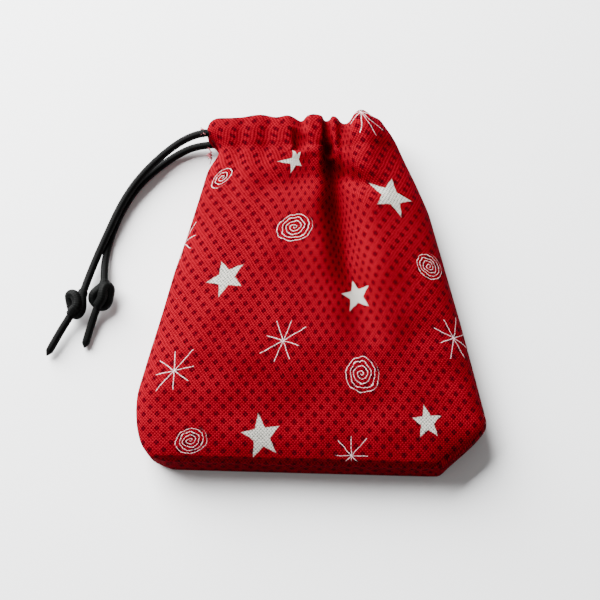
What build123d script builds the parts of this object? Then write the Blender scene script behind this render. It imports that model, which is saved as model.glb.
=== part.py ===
"""A small lined cotton drawstring bag for dice, lying on its back with the mouth drawn in.

The row frame has +Z up, +Y towards the mouth and +X to the right of the bag as seen from
above. The origin is on the floor under the middle of the cloth bag. All sizes are in
millimetres. The bag is an outer and a lining pouch of two panels each, a turned hem that
makes the cord channel round the mouth, and one cord whose two knotted ends leave the
channel at the left side seam.
"""

from build123d import *
from collections import namedtuple
from math import pi, radians, tan
import os

# ---- overall sizes of the cloth bag as it lies
bag_width = 92.8
bag_length = 95.0
bag_height = 15.0

# ---- cloth, seams and thread
cotton_thickness = 0.6
lining_thickness = 0.4
layer_gap = 0.2
fold_radius = 5.5
floor_press = 0.1
seam_height = 5.5
seam_gap = 0.3
seam_thread_diameter = 0.24
hem_thread_diameter = 0.34
stitch_length = 2.0
stitch_pitch = 2.9
thread_clearance = 0.03

# ---- cord
cord_diameter = 2.0
cord_clearance = 0.35

# ---- hem that makes the cord channel, drawn in along the cord
hem_depth = 9.6
hem_wall = 0.5
hem_fillet = 1.2
hem_stitch_inset = 0.9
mouth_gap = 5.0
mouth_left = 25.5
mouth_right = 23.0
side_gap = 0.3

# ---- knots, tied in the cord near its two ends
knot_length = 6.6
knot_diameter = 5.8
knot_waist = 3.6

# ---- places worked out from the sizes above
base_y = -bag_length / 2
mouth_y = bag_length / 2
hem_y = mouth_y - hem_depth
channel_y = mouth_y - hem_depth / 2
hem_lift = hem_thread_diameter + 2 * thread_clearance
hem_channel = cord_diameter + 2 * cord_clearance
hem_thickness = hem_channel + 2 * hem_wall
mouth_height = hem_lift + 2 * hem_thickness + mouth_gap
back_channel_z = hem_lift + hem_thickness / 2
front_channel_z = mouth_height - hem_thickness / 2
bight_radius = (front_channel_z - back_channel_z) / 2
bight_x = mouth_right - hem_wall - cord_clearance - cord_diameter / 2 - bight_radius
seam_z = seam_height + seam_gap / 2

Station = namedtuple("Station", "y left right height")

# Cross-sections of the pouch from base to hem: how far along, then the left edge, right edge
# and height as shares of half the bag's width and of its height.
pouch_shape = (
    (0.00, 0.870, 0.745, 0.84),
    (0.05, 0.965, 0.905, 0.90),
    (0.13, 1.000, 1.000, 0.96),
    (0.30, 0.948, 0.925, 1.00),
    (0.60, 0.805, 0.765, 1.00),
    (0.85, 0.665, 0.635, 0.92),
)

# Routes of the cord's two ends by hand, from where each leaves its channel: sideways from the
# bag, back towards the base, and height above the floor, of each point.
front_route = (
    (3.6, 0.0, front_channel_z),
    (9.4, 2.1, 8.8),
    (15.6, 6.2, 5.6),
    (21.5, 11.6, 3.0),
    (25.9, 18.0, 1.5),
    (29.1, 25.2, 1.1),
    (32.0, 32.4, 1.5),
    (34.8, 38.4, 2.7),
    (36.3, 42.4, 3.1),
    (38.9, 47.9, 3.1),
    (41.3, 52.4, 2.4),
    (44.6, 58.9, 1.6),
)
back_route = (
    (3.6, 0.0, back_channel_z),
    (9.2, 2.6, 1.4),
    (14.8, 7.1, 1.1),
    (19.8, 12.9, 1.1),
    (23.5, 19.2, 1.1),
    (26.6, 26.1, 1.1),
    (28.7, 32.7, 1.5),
    (29.2, 38.2, 2.7),
    (29.1, 41.0, 3.1),
    (31.1, 46.3, 3.1),
    (32.6, 50.7, 2.0),
    (34.8, 56.7, 1.1),
)
knot_after = 9  # the run of the route on which the knot is tied


def stations(inset, past_hem=()):
    """The pouch's cross-sections, drawn in by an inset, the hem's own section last."""
    depth = hem_y - base_y
    half = bag_width / 2
    shape = [
        Station(base_y + along * depth, -left * half, right * half, height * bag_height)
        for along, left, right, height in pouch_shape
    ]
    for cut_corner in (0, 1):
        shape[cut_corner] = shape[cut_corner]._replace(y=shape[cut_corner].y + inset)
    for past in (0.0, *past_hem):
        shape.append(Station(hem_y + past, -mouth_left, mouth_right, mouth_height))
    return [s._replace(left=s.left + inset, right=s.right - inset) for s in shape]


def section_plane(station):
    """The upright plane of a cross-section, centred between its edges."""
    middle = ((station.left + station.right) / 2, station.y, (station.height - floor_press) / 2)
    return Plane(origin=middle, x_dir=(1, 0, 0), z_dir=(0, 1, 0))


def pouch_solid(inset, past_hem=()):
    """A filled pouch with its surface inset from the outside of the bag."""
    with BuildPart() as solid:
        for station in stations(inset, past_hem):
            with BuildSketch(section_plane(station)):
                RectangleRounded(
                    station.right - station.left,
                    station.height + floor_press - 2 * inset,
                    fold_radius - inset,
                )
        loft(ruled=True)
    return solid.part


def pouch_layer(inset, thickness):
    """One layer of cloth all round the pouch, open at the hem and flat on the floor."""
    with BuildPart() as layer:
        add(pouch_solid(inset))
        add(pouch_solid(inset + thickness, past_hem=(1.0,)), mode=Mode.SUBTRACT)
        split(bisect_by=Plane.XY, keep=Keep.TOP)
    return layer.part


def build_panels():
    """Outer and lining panels: each pouch is two panels that meet at the seam plane."""
    made = []
    lining_inset = cotton_thickness + layer_gap
    for cloth, inset, thickness in (
        ("outer", 0.0, cotton_thickness),
        ("lining", lining_inset, lining_thickness),
    ):
        layer = pouch_layer(inset, thickness)
        with BuildPart() as back:
            add(layer)
            split(bisect_by=Plane.XY.offset(seam_height), keep=Keep.BOTTOM)
        back.part.label = f"{cloth}_back"
        with BuildPart() as front:
            add(layer)
            split(bisect_by=Plane.XY.offset(seam_height + seam_gap), keep=Keep.TOP)
        front.part.label = f"{cloth}_front"
        made += [back.part, front.part]
    return made


def hem_tube(label, middle_z):
    """A turned hem: a flattened cloth tube with the cord channel along it."""
    length = mouth_left + bight_x
    middle = (-mouth_left, (hem_y + mouth_y) / 2, middle_z)
    across = Plane(origin=middle, x_dir=(0, 1, 0), z_dir=(1, 0, 0))
    with BuildPart() as hem:
        with BuildSketch(across):
            RectangleRounded(hem_depth, hem_thickness, hem_fillet)
        extrude(amount=length)
        with BuildSketch(across):
            RectangleRounded(
                hem_depth - 2 * hem_wall,
                hem_channel,
                hem_fillet - hem_wall,
            )
        extrude(amount=length, mode=Mode.SUBTRACT)
    hem.part.label = label
    return hem.part


def hem_turn():
    """The hem where it turns round the right side seam, from the back to the front."""
    left = bight_x + side_gap
    length = mouth_right - left
    height = mouth_height - hem_lift
    reach = length - hem_wall
    middle_y = (hem_y + mouth_y) / 2
    middle_z = hem_lift + height / 2
    wall = Plane(origin=(left + length / 2, middle_y, middle_z), x_dir=(1, 0, 0), z_dir=(0, 1, 0))
    inside = Plane(origin=(left + reach / 2, middle_y, middle_z), x_dir=(1, 0, 0), z_dir=(0, 1, 0))
    with BuildPart() as turn:
        with BuildSketch(wall):
            Rectangle(length, height)
        extrude(amount=hem_depth / 2, both=True)
        outer_edges = turn.edges().filter_by(Axis.Y).group_by(Axis.X)[-1]
        fillet(outer_edges, radius=hem_fillet)
        with BuildSketch(inside):
            Rectangle(reach, height - 2 * hem_wall)
        extrude(amount=hem_depth / 2 - hem_wall, both=True, mode=Mode.SUBTRACT)
    turn.part.label = "casing_turn"
    return turn.part


def build_hems():
    """Front and back hems, and the hem's turn between them."""
    return [
        hem_tube("casing_front", front_channel_z),
        hem_tube("casing_back", back_channel_z),
        hem_turn(),
    ]


def stitch_planes(start, end):
    """Where each stitch of a straight row begins, facing along the row."""
    along = Vector(*end) - Vector(*start)
    direction = along.normalized()
    count = int(along.length // stitch_pitch)
    spare = along.length - count * stitch_pitch + stitch_pitch - stitch_length
    return [
        Plane(
            origin=Vector(*start) + direction * (spare / 2 + number * stitch_pitch),
            z_dir=direction,
        )
        for number in range(count)
    ]


def stitch_rows(label, rows, diameter):
    """Rows of separate stitches as one piece, each stitch a small rounded rod."""
    planes = [plane for start, end in rows for plane in stitch_planes(start, end)]
    with BuildPart() as stitches:
        with BuildSketch(*planes):
            Circle(diameter / 2)
        extrude(amount=stitch_length)
        fillet(stitches.edges().filter_by(GeomType.CIRCLE), radius=diameter / 4)
    stitches.part.label = label
    return stitches.part


def seam_threads(cloth, middle):
    """The two side seams and the bottom seam of one pouch, along its cloth's middle."""
    made = []
    first = 2
    path = stations(middle)[first:]
    for side in ("left", "right"):
        line = [(getattr(station, side), station.y, seam_z) for station in path]
        rows = list(zip(line[:-1], line[1:]))
        made.append(stitch_rows(f"{cloth}_side_thread_{side}", rows, seam_thread_diameter))
    base = stations(fold_radius)[0]
    bottom_y = base_y + middle
    bottom = [((base.left, bottom_y, seam_z), (base.right, bottom_y, seam_z))]
    made.append(stitch_rows(f"{cloth}_bottom_thread", bottom, seam_thread_diameter))
    return made


def hem_threads():
    """The rows of stitches that close the hems, on the hems' outer faces."""
    stitch_y = hem_y + hem_fillet + hem_stitch_inset
    away = hem_thread_diameter / 2 + thread_clearance
    made = []
    for side, height in (("front", mouth_height + away), ("back", hem_lift - away)):
        row = [((-mouth_left, stitch_y, height), (bight_x, stitch_y, height))]
        made.append(stitch_rows(f"casing_thread_{side}", row, hem_thread_diameter))
    return made


def build_threads():
    """Every row of stitches in the bag."""
    lining_middle = cotton_thickness + layer_gap + lining_thickness / 2
    outer = seam_threads("outer", cotton_thickness / 2)
    lining = seam_threads("lining", lining_middle)
    return outer + lining + hem_threads()


def route_points(route, channel_z):
    """A cord end's points, from the end of its channel."""
    points = [Vector(-mouth_left, channel_y, channel_z)]
    for sideways, back, height in route:
        points.append(Vector(-mouth_left - sideways, channel_y - back, height))
    return points


def arc_radii(points):
    """The largest arc that each corner of a route leaves room for."""
    radii = []
    for before, corner, after in zip(points, points[1:], points[2:]):
        run_in, run_out = corner - before, after - corner
        shorter = min(run_in.length, run_out.length)
        turn = run_in.get_angle(run_out)
        radii.append(0.45 * shorter / tan(radians(turn / 2)))
    return radii


def cord_end(label, points):
    """One end of the cord: straight runs joined by tangent arcs, swept by a circle."""
    radii = arc_radii(points)
    with BuildPart() as cord:
        with BuildLine() as line:
            FilletPolyline(*points, radius=radii)
        with BuildSketch(Plane(origin=points[0], z_dir=points[1] - points[0])):
            Circle(cord_diameter / 2)
        sweep()
    cord.part.label = label
    length = line.wire().length
    expected = length * pi * cord_diameter**2 / 4
    print(f"{label}: length {length:.1f}, radii", " ".join(f"{r:.0f}" for r in radii))
    print(f"{label}: volume {cord.part.volume:.2f}, section times length {expected:.2f}")
    return cord.part


def knot(label, points):
    """An overhand knot pulled tight, as a waisted barrel round the cord."""
    before, after = points[knot_after], points[knot_after + 1]
    direction = (after - before).normalized()
    middle = (before + after) * 0.5
    half = knot_length / 2
    end_radius = cord_diameter / 2
    side = Plane(origin=middle, x_dir=direction, z_dir=Vector(0, 0, 1).cross(direction))
    with BuildPart() as barrel:
        with BuildSketch(side):
            with BuildLine():
                Spline(
                    (-half, end_radius),
                    (-half / 2, knot_diameter / 2),
                    (0, knot_waist / 2 + knot_diameter / 8),
                    (half / 2, knot_diameter / 2),
                    (half, end_radius),
                )
                Polyline((half, end_radius), (half, 0), (-half, 0), (-half, end_radius))
            make_face()
        revolve(axis=Axis(middle, direction))
    barrel.part.label = label
    return barrel.part


def cord_run(label, channel_z):
    """The straight run of the cord inside one hem's channel."""
    start = Plane(origin=(-mouth_left, channel_y, channel_z), z_dir=(1, 0, 0))
    with BuildPart() as run:
        with BuildSketch(start):
            Circle(cord_diameter / 2)
        extrude(amount=mouth_left + bight_x - side_gap)
    run.part.label = label
    return run.part


def cord_bight():
    """The cord's turn from the back channel to the front one, inside the hem's turn."""
    middle = (bight_x, channel_y, (front_channel_z + back_channel_z) / 2)
    upright = Plane(origin=middle, x_dir=(1, 0, 0), z_dir=(0, -1, 0))
    start = Plane(origin=(bight_x, channel_y, back_channel_z), z_dir=(1, 0, 0))
    with BuildPart() as bight:
        with BuildLine(upright):
            CenterArc((0, 0), bight_radius, -90, 180)
        with BuildSketch(start):
            Circle(cord_diameter / 2)
        sweep()
    print(f"drawcord_bight: radius {bight_radius:.1f}")
    bight.part.label = "drawcord_bight"
    return bight.part


def build_cord():
    """The cord: its two free ends, their knots, and what lies hidden in the hem."""
    made = []
    for end, route, channel_z in (
        ("front", front_route, front_channel_z),
        ("back", back_route, back_channel_z),
    ):
        points = route_points(route, channel_z)
        made.append(cord_end(f"drawcord_{end}", points))
        made.append(knot(f"knot_{end}", points))
        made.append(cord_run(f"drawcord_run_{end}", channel_z))
    made.append(cord_bight())
    return made


os.makedirs("parts", exist_ok=True)
for piece in build_panels() + build_hems() + build_threads() + build_cord():
    export_step(piece, f"parts/{piece.label}.step")
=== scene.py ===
"""A small lined drawstring bag for dice in printed red cotton, lying on its back, drawn shut.

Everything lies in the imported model's frame, +Z up and +Y towards the mouth. Outlines, folds,
routes and prints are in millimetres, which MM turns into metres. The settings are in metres.
"""

from math import atan2, cos, exp, pi, radians, sin, sqrt

import bmesh
import bpy
import numpy as np
from mathutils import Matrix, Vector


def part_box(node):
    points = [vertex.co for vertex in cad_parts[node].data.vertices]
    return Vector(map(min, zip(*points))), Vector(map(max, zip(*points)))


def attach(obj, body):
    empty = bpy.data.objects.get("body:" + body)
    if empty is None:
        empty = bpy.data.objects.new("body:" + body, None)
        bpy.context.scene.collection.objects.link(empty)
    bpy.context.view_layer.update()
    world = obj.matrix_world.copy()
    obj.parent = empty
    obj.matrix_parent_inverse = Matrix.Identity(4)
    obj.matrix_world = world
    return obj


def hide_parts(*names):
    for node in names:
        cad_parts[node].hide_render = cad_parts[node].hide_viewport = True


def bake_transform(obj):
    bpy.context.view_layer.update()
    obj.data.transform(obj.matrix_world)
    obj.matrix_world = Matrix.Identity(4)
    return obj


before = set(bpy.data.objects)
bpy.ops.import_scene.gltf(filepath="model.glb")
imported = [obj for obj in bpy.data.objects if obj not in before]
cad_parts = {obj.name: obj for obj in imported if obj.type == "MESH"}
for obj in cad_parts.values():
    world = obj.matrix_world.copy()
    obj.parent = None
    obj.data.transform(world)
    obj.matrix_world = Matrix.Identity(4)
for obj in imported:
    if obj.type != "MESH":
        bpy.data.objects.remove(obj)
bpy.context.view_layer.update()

bl_info = {
    "name": "Drawstring dice bag",
    "version": (1, 0, 0),
    "blender": (4, 5, 0),
    "location": "3D Viewport > Sidebar > Dice Bag",
    "description": "Makes a lined cotton drawstring bag with a knotted cord",
    "category": "Add Mesh",
}

MM = 0.001

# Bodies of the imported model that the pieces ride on.
BACK = "back_half"
FRONT = "front_half"
CORD_BODY = {"front": "cord_front", "back": "cord_back"}


def node_box_mm(*names):
    """Lowest and highest corner of some nodes together, in millimetres."""
    boxes = [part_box(name) for name in names]
    low = [min(box[0][k] for box in boxes) / MM for k in range(3)]
    high = [max(box[1][k] for box in boxes) / MM for k in range(3)]
    return low, high


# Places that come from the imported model.
POUCH_LOW = node_box_mm("outer_front", "outer_back")[0]
HEM_LOW, HEM_HIGH = node_box_mm("casing_front", "casing_back", "casing_turn")
RUN_LOW, RUN_HIGH = node_box_mm("drawcord_run_front")
BACK_RUN_LOW, BACK_RUN_HIGH = node_box_mm("drawcord_run_back")
BASE_Y = POUCH_LOW[1]
HEM_Y = HEM_LOW[1]
HEM_STITCH_Y = HEM_Y + 1.0
MOUTH_Y = HEM_HIGH[1]
CHANNEL_Y = (RUN_LOW[1] + RUN_HIGH[1]) / 2
EXIT_X = RUN_LOW[0]
RUN_END_X = RUN_HIGH[0]
BACK_CHANNEL_Z = (BACK_RUN_LOW[2] + BACK_RUN_HIGH[2]) / 2
CORD_MM = RUN_HIGH[2] - RUN_LOW[2]

# Routes of the cord's free ends, from where the cord leaves its channel in the hem: sideways
# from the bag, back towards the base, and height above the floor, in millimetres.
ROUTES = {
    "front": (
        (0.0, -1.5, 9.0),
        (4.5, -1.8, 8.8),
        (10.5, -0.3, 7.0),
        (17.0, 4.0, 5.0),
        (23.0, 10.0, 3.8),
        (27.5, 17.0, 3.2),
        (31.0, 25.5, 3.0),
        (34.0, 33.0, 2.6),
        (36.2, 39.5, 2.6),
        (37.4, 44.0, 3.1),
        (40.2, 49.7, 3.1),
        (43.0, 54.2, 2.5),
        (46.5, 60.7, 1.6),
    ),
    "back": (
        (0.0, -0.7, 2.6),
        (6.0, -0.8, 2.0),
        (12.0, 1.4, 1.3),
        (18.0, 5.8, 1.1),
        (23.5, 11.2, 1.1),
        (27.5, 18.0, 1.1),
        (30.3, 25.2, 1.1),
        (31.8, 32.0, 1.3),
        (31.8, 37.6, 2.4),
        (31.4, 41.6, 3.1),
        (33.1, 47.3, 3.1),
        (34.7, 51.9, 2.0),
        (36.5, 58.4, 1.1),
    ),
}
KNOT_AFTER = 9  # the point before the run on which each knot is tied

# The cord hidden in the hem: each piece's body, then its route as x, distance from the channel
# and height. The front run sags below the folds of the hem.
SAG_Z = 7.6
HIDDEN_ROUTES = {
    "run_front": (
        CORD_BODY["front"],
        (
            (EXIT_X - 1.8, 1.6, 8.95), (EXIT_X, 1.5, 9.0), (EXIT_X + 2.0, 1.3, 8.7),
            (EXIT_X + 4.5, 0.4, SAG_Z + 0.2), (EXIT_X + 8.0, 0.0, SAG_Z), (0.0, 0.0, SAG_Z),
            (RUN_END_X, 0.0, SAG_Z),
        ),
    ),
    "run_back": (
        CORD_BODY["back"],
        (
            (EXIT_X - 1.8, 0.7, 2.5), (EXIT_X, 0.7, 2.6), (EXIT_X + 4.0, 0.3, 2.4),
            (EXIT_X + 8.0, 0.0, BACK_CHANNEL_Z), (0.0, 0.0, BACK_CHANNEL_Z),
            (RUN_END_X, 0.0, BACK_CHANNEL_Z),
        ),
    ),
    "bight": (
        BACK,
        (
            (RUN_END_X, 0.0, SAG_Z), (RUN_END_X + 2.0, 0.0, SAG_Z), (RUN_END_X + 4.0, 0.0, 6.6),
            (RUN_END_X + 4.2, 0.0, 3.8), (RUN_END_X + 2.2, 0.0, BACK_CHANNEL_Z),
            (RUN_END_X, 0.0, BACK_CHANNEL_Z),
        ),
    ),
}

# Outline of the bag as it lies: distance along it, then how far its edge is from the middle.
LEFT_EDGE = (
    (-47.5, 41.6), (-46.2, 43.2), (-43.6, 44.8), (-39.0, 46.0), (-34.0, 46.5), (-29.7, 46.3),
    (-18.6, 43.5), (-7.5, 40.5), (4.0, 37.6), (14.6, 34.3), (26.0, 31.1), (33.9, 28.9),
    (37.0, 26.6), (38.6, 25.7), (40.4, 25.8), (41.4, 26.6), (42.6, 28.2), (43.8, 29.2),
    (45.4, 29.6), (46.5, 29.4), (47.5, 28.6),
)
RIGHT_EDGE = (
    (-47.5, 33.4), (-46.0, 36.0), (-44.0, 39.2), (-42.0, 42.1), (-40.0, 44.6), (-38.6, 45.8),
    (-36.6, 46.1), (-29.6, 44.5), (-18.0, 42.0), (-10.2, 40.3), (5.0, 36.6), (15.0, 34.2),
    (21.4, 32.6), (29.8, 29.2), (38.0, 25.4), (42.0, 23.6), (45.4, 21.8), (47.5, 19.8),
)
# Height of the front's crown, and of the side seams, along the bag.
CROWN = ((-47.5, 10.1), (-45.0, 11.1), (-40.0, 12.3), (-30.0, 13.8), (-18.0, 14.6), (5.0, 14.6),
         (25.0, 13.7), (36.0, 12.6), (40.0, 12.6), (45.0, 12.9), (47.5, 12.2))
SEAM = ((-47.5, 6.0), (-36.0, 5.2), (0.0, 4.6), (30.0, 4.8), (38.0, 5.6), (47.5, 6.4))
# How square the cross-section is, along the bag: high is a box, 2 is an oval.
SQUARENESS = ((-47.5, 7.0), (-42.0, 4.6), (-34.0, 3.3), (-15.0, 2.7), (20.0, 2.7), (36.0, 3.2),
              (41.0, 4.2), (47.5, 4.6))

# Folds of the front: points of x, y, half width, depth. A negative depth is a ridge.
FRONT_FOLDS = (
    # the long valley from the mouth to below the middle
    ((4.8, 38.6, 1.4, 2.4), (5.2, 35.5, 1.8, 5.4), (6.4, 31.0, 2.6, 6.8), (7.6, 25.0, 3.4, 6.8),
     (8.6, 17.0, 4.0, 5.8), (9.6, 8.0, 4.2, 4.6), (11.6, -2.0, 4.4, 2.8), (14.0, -14.0, 5.0, 1.0)),
    # its branch to the right, below the hem's last puff
    ((6.4, 35.0, 1.6, 2.0), (9.2, 31.5, 1.9, 3.8), (13.0, 28.4, 2.2, 3.6), (17.5, 26.4, 2.5, 2.0),
     (21.0, 25.2, 3.0, 0.3)),
    # the lip below the tucked pleat
    ((-4.6, 37.0, 1.6, -0.8), (-1.4, 37.0, 1.6, -0.8)),
    # a small pleat in the hem to the right
    ((8.0, 47.5, 0.6, 1.2), (8.0, 43.0, 0.7, 1.0), (8.4, 38.0, 1.2, 1.2), (8.6, 34.0, 1.6, 1.0)),
    # shallow hollow left of the middle
    ((-12.0, 27.4, 4.2, 1.4), (-5.0, 28.2, 4.0, 1.6), (1.0, 30.0, 3.4, 1.2)),
    # soft ripples that run down from the hem at the left
    ((-19.0, 46.0, 1.6, 0.5), (-20.5, 36.0, 2.2, 0.7), (-23.5, 20.0, 3.4, 0.4)),
    ((-11.5, 46.5, 1.4, 0.5), (-12.5, 38.0, 2.0, 0.6), (-14.0, 32.0, 2.6, 0.2)),
    # puffs each side of the valley
    ((1.0, 22.0, 4.0, -0.9), (1.5, 8.0, 5.0, -0.9), (4.5, -6.0, 6.0, -0.6)),
    ((14.5, 36.0, 3.6, -1.2), (17.0, 20.0, 5.0, -1.2), (18.5, 6.0, 5.5, -1.0), (21.0, -8.0, 6.0, -0.6)),
    # the last puff of the hem at the right
    ((15.6, 46.8, 3.4, -1.4), (16.4, 42.0, 4.0, -1.3), (17.4, 36.0, 4.0, -0.6)),
    # slack hollows near the base
    ((-30.0, -30.0, 7.0, 0.5), (-10.0, -34.0, 7.0, 0.7), (12.0, -33.0, 7.0, 0.6), (30.0, -28.0, 6.0, 0.3)),
    ((26.0, -18.0, 4.0, 0.6), (33.0, -27.0, 4.0, 0.8), (39.0, -35.0, 4.0, 0.4)),
)
# Tucks in the hem, whose sides are steep: like a fold's points.
FRONT_TUCKS = (
    ((-3.1, 47.5, 1.75, 2.6), (-3.1, 44.0, 1.75, 2.2), (-3.1, 40.0, 1.7, 2.1), (-3.1, 38.6, 1.6, 1.8)),
    ((4.4, 47.5, 1.1, 2.8), (4.6, 43.0, 1.2, 2.3), (5.0, 39.0, 1.5, 3.0)),
    ((9.9, 47.5, 1.7, 2.0), (9.8, 45.0, 1.5, 1.2), (9.6, 42.0, 1.2, 0.5)),
)
# How far the mouth's edge draws back, as x, half width, depth.
MOUTH_NOTCHES = (
    (-29.5, 1.6, 0.8), (-22.0, 3.4, 0.2), (-9.5, 1.6, 0.3), (-3.0, 1.1, 0.6), (4.2, 0.7, 0.4),
    (9.6, 1.9, 1.5), (22.4, 2.2, 1.0),
)
MOUTH_PUFFS = ((-14.0, 3.6, 0.6), (-6.6, 2.2, 0.5), (0.6, 2.4, 0.7), (6.4, 1.2, 0.2), (13.8, 2.4, 1.9))


def along(table, y):
    """A value along the bag from its listed points, with the corners eased."""
    where, value = zip(*table)
    reach = 1.3
    steps = (-reach, -reach / 2, 0.0, reach / 2, reach)
    return sum(np.interp(y + step, where, value) for step in steps) / len(steps)


def fold_depth(x, y, fold, steepness=2):
    """Depth of one fold at x, y: a valley along its polyline."""
    best = np.zeros_like(x)
    for (x0, y0, w0, d0), (x1, y1, w1, d1) in zip(fold, fold[1:]):
        dx, dy = x1 - x0, y1 - y0
        share = np.clip(((x - x0) * dx + (y - y0) * dy) / (dx * dx + dy * dy), 0.0, 1.0)
        distance = np.hypot(x - x0 - share * dx, y - y0 - share * dy)
        width = w0 + share * (w1 - w0)
        depth = (d0 + share * (d1 - d0)) * np.exp(-((distance / width) ** steepness))
        best = np.where(np.abs(depth) > np.abs(best), depth, best)
    return best


def ripple(x, y):
    """Small uneven softness of handled cloth."""
    return (
        0.10 * np.sin(0.21 * x + 0.13 * y + 0.6)
        + 0.08 * np.sin(0.37 * x - 0.29 * y + 2.1)
        + 0.05 * np.sin(0.11 * x + 0.61 * y + 4.0)
        + 0.04 * np.sin(0.83 * x + 0.47 * y + 1.0)
    )


FLOOR_GAP = 0.05  # the back's height above the floor


def front_height(x, y, rise):
    """Height of the front at x, y, where rise goes from 0 at the side seams to 1."""
    seam, crown = along(SEAM, y), along(CROWN, y)
    height = seam + (crown - seam) * rise
    folds = sum(fold_depth(x, y, fold) for fold in FRONT_FOLDS)
    folds = folds + sum(fold_depth(x, y, fold, 6) for fold in FRONT_TUCKS)
    groove = 0.35 * np.exp(-(((y - HEM_STITCH_Y) / 0.8) ** 2))
    return height - (folds + groove) * rise + ripple(x, y) * rise


def back_height(x, y, rise):
    """Height of the back, which lies flat on the floor between its rounded edges."""
    seam = along(SEAM, y)
    lift = 0.25 * np.exp(-(((y - HEM_STITCH_Y) / 0.9) ** 2))
    return seam - (seam - FLOOR_GAP) * rise + lift * rise


def half_section(y, front, count=500):
    """Half of a cross-section from the left seam to the right one, as x and z."""
    turn = np.linspace(0.0, pi, count)
    left, right = -along(LEFT_EDGE, y), along(RIGHT_EDGE, y)
    square = along(SQUARENESS, y)
    spread = 2.0 / square
    side = -np.sign(np.cos(turn)) * np.abs(np.cos(turn)) ** spread
    rise = np.abs(np.sin(turn)) ** spread
    x = (left + right) / 2 + side * (right - left) / 2
    height = front_height(x, y, rise) if front else back_height(x, y, rise ** 0.55)
    return x, height


def distance_along(x, z):
    """Distance along a curve at each of its points."""
    return np.concatenate(([0.0], np.cumsum(np.hypot(np.diff(x), np.diff(z)))))


def cut_evenly(x, z, count):
    """Points evenly spaced along a curve."""
    lengths = distance_along(x, z)
    wanted = np.linspace(0.0, lengths[-1], count + 1)
    return np.interp(wanted, lengths, x), np.interp(wanted, lengths, z)


# Where the cloth's spare width is tucked away, as y, x of the tuck, its half width, and the
# share of the spare width that it takes.
TUCKS = (
    ((-47.5, 9.0, 40.0), (-12.0, 13.0, 16.0), (8.0, 9.6, 5.0), (25.0, 7.6, 1.8), (36.0, 5.0, 1.1),
     (47.5, 4.3, 0.8)),
    ((-47.5, -3.0, 40.0), (20.0, -3.0, 9.0), (36.0, -3.0, 2.4), (47.5, -3.0, 1.6)),
    ((-47.5, 9.8, 40.0), (20.0, 9.8, 8.0), (36.0, 9.6, 2.0), (47.5, 9.8, 1.0)),
)
TUCK_SHARES = (0.5, 0.3, 0.2)
STRAIGHT_Y = -35.0  # below this the print runs straight on, as the corners are sewn across it

# One flat panel of the outer cloth: the pouch's length, its share of the base wall and the
# hem turned in make its length. The lining's panel has no hem.
BAG_LENGTH, BASE_SHARE, HEM_TURN = 95.0, 6.3, 9.6
FLAT_WIDTH = 104.0
FLAT_LENGTH = BAG_LENGTH + BASE_SHARE + HEM_TURN
BACK_PRINT_STEP = FLAT_WIDTH + 37.0  # from the front's print to the back's
PRINT_UNIT = 100.0  # millimetres of cloth per unit of the print's coordinates


def print_across(x, z, y):
    """How far across its own flat panel each point of a half cross-section lies."""
    lengths = distance_along(x, z)
    spare = FLAT_WIDTH - lengths[-1]
    across = lengths.copy()
    for tuck, share in zip(TUCKS, TUCK_SHARES):
        where, middle, width = zip(*tuck)
        centre, half = np.interp(y, where, middle), np.interp(y, where, width)
        step = np.clip((x - centre) / (2 * half) + 0.5, 0.0, 1.0)
        across += share * spare * step * step * (3 - 2 * step)
    return across


# Profile of the base wall: share of its height, and how far it stands out there, with the
# sewn ridge near its top.
BASE_WALL = (
    (0.0, -2.3), (0.17, -2.1), (0.33, -1.7), (0.5, -1.1), (0.67, -0.6), (0.75, -1.1), (0.83, -1.1),
    (0.92, 0.4), (1.0, 0.0),
)


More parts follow.
